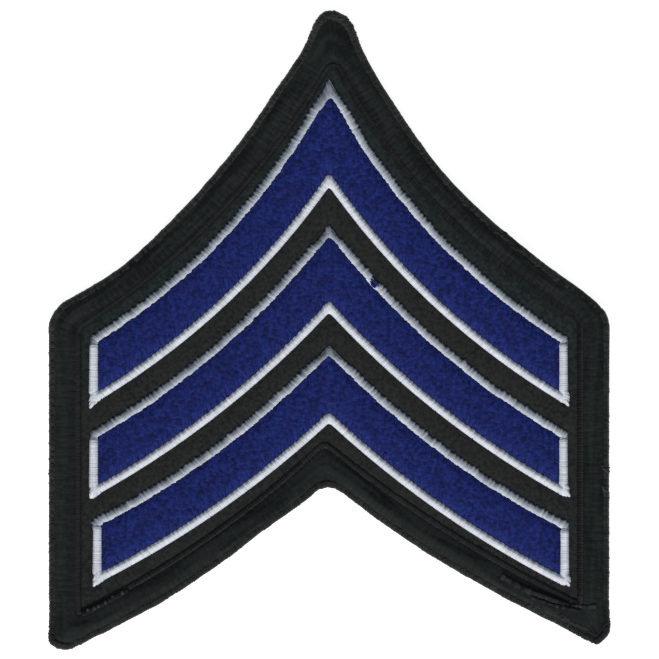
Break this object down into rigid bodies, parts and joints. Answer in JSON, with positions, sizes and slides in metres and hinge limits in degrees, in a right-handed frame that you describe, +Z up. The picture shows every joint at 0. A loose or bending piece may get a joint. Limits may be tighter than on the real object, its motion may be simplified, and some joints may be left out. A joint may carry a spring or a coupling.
{
  "type": "rank chevron patch",
  "caption": "Embroidered sleeve patch with curved chevron bars, each edged in satin stitch, on cloth bound by a thick overlocked border.",
  "frame": {"origin": "below the middle of the patch, on the plane of its back", "axes": "+X to the right across the chevrons, +Y towards their point, +Z up out of the face, with the patch lying on its back"},
  "size_m": [0.0762, 0.0872, 0.0023],
  "materials": {
    "ground_cloth": "brownish black twill cloth, matt",
    "border_thread": "greenish black overlock thread, slight sheen",
    "bar_thread": "royal blue embroidery thread in a short random fill, slight sheen",
    "edging_thread": "white satin stitch, soft sheen"
  },
  "bodies": {
    "root": {"ground_cloth": "ground_cloth", "merrowed_border": "border_thread", "bar_top": "bar_thread", "bar_middle": "bar_thread", "bar_bottom": "bar_thread", "edging_top": "edging_thread", "edging_middle": "edging_thread", "edging_bottom": "edging_thread"}
  },
  "joints": []
}
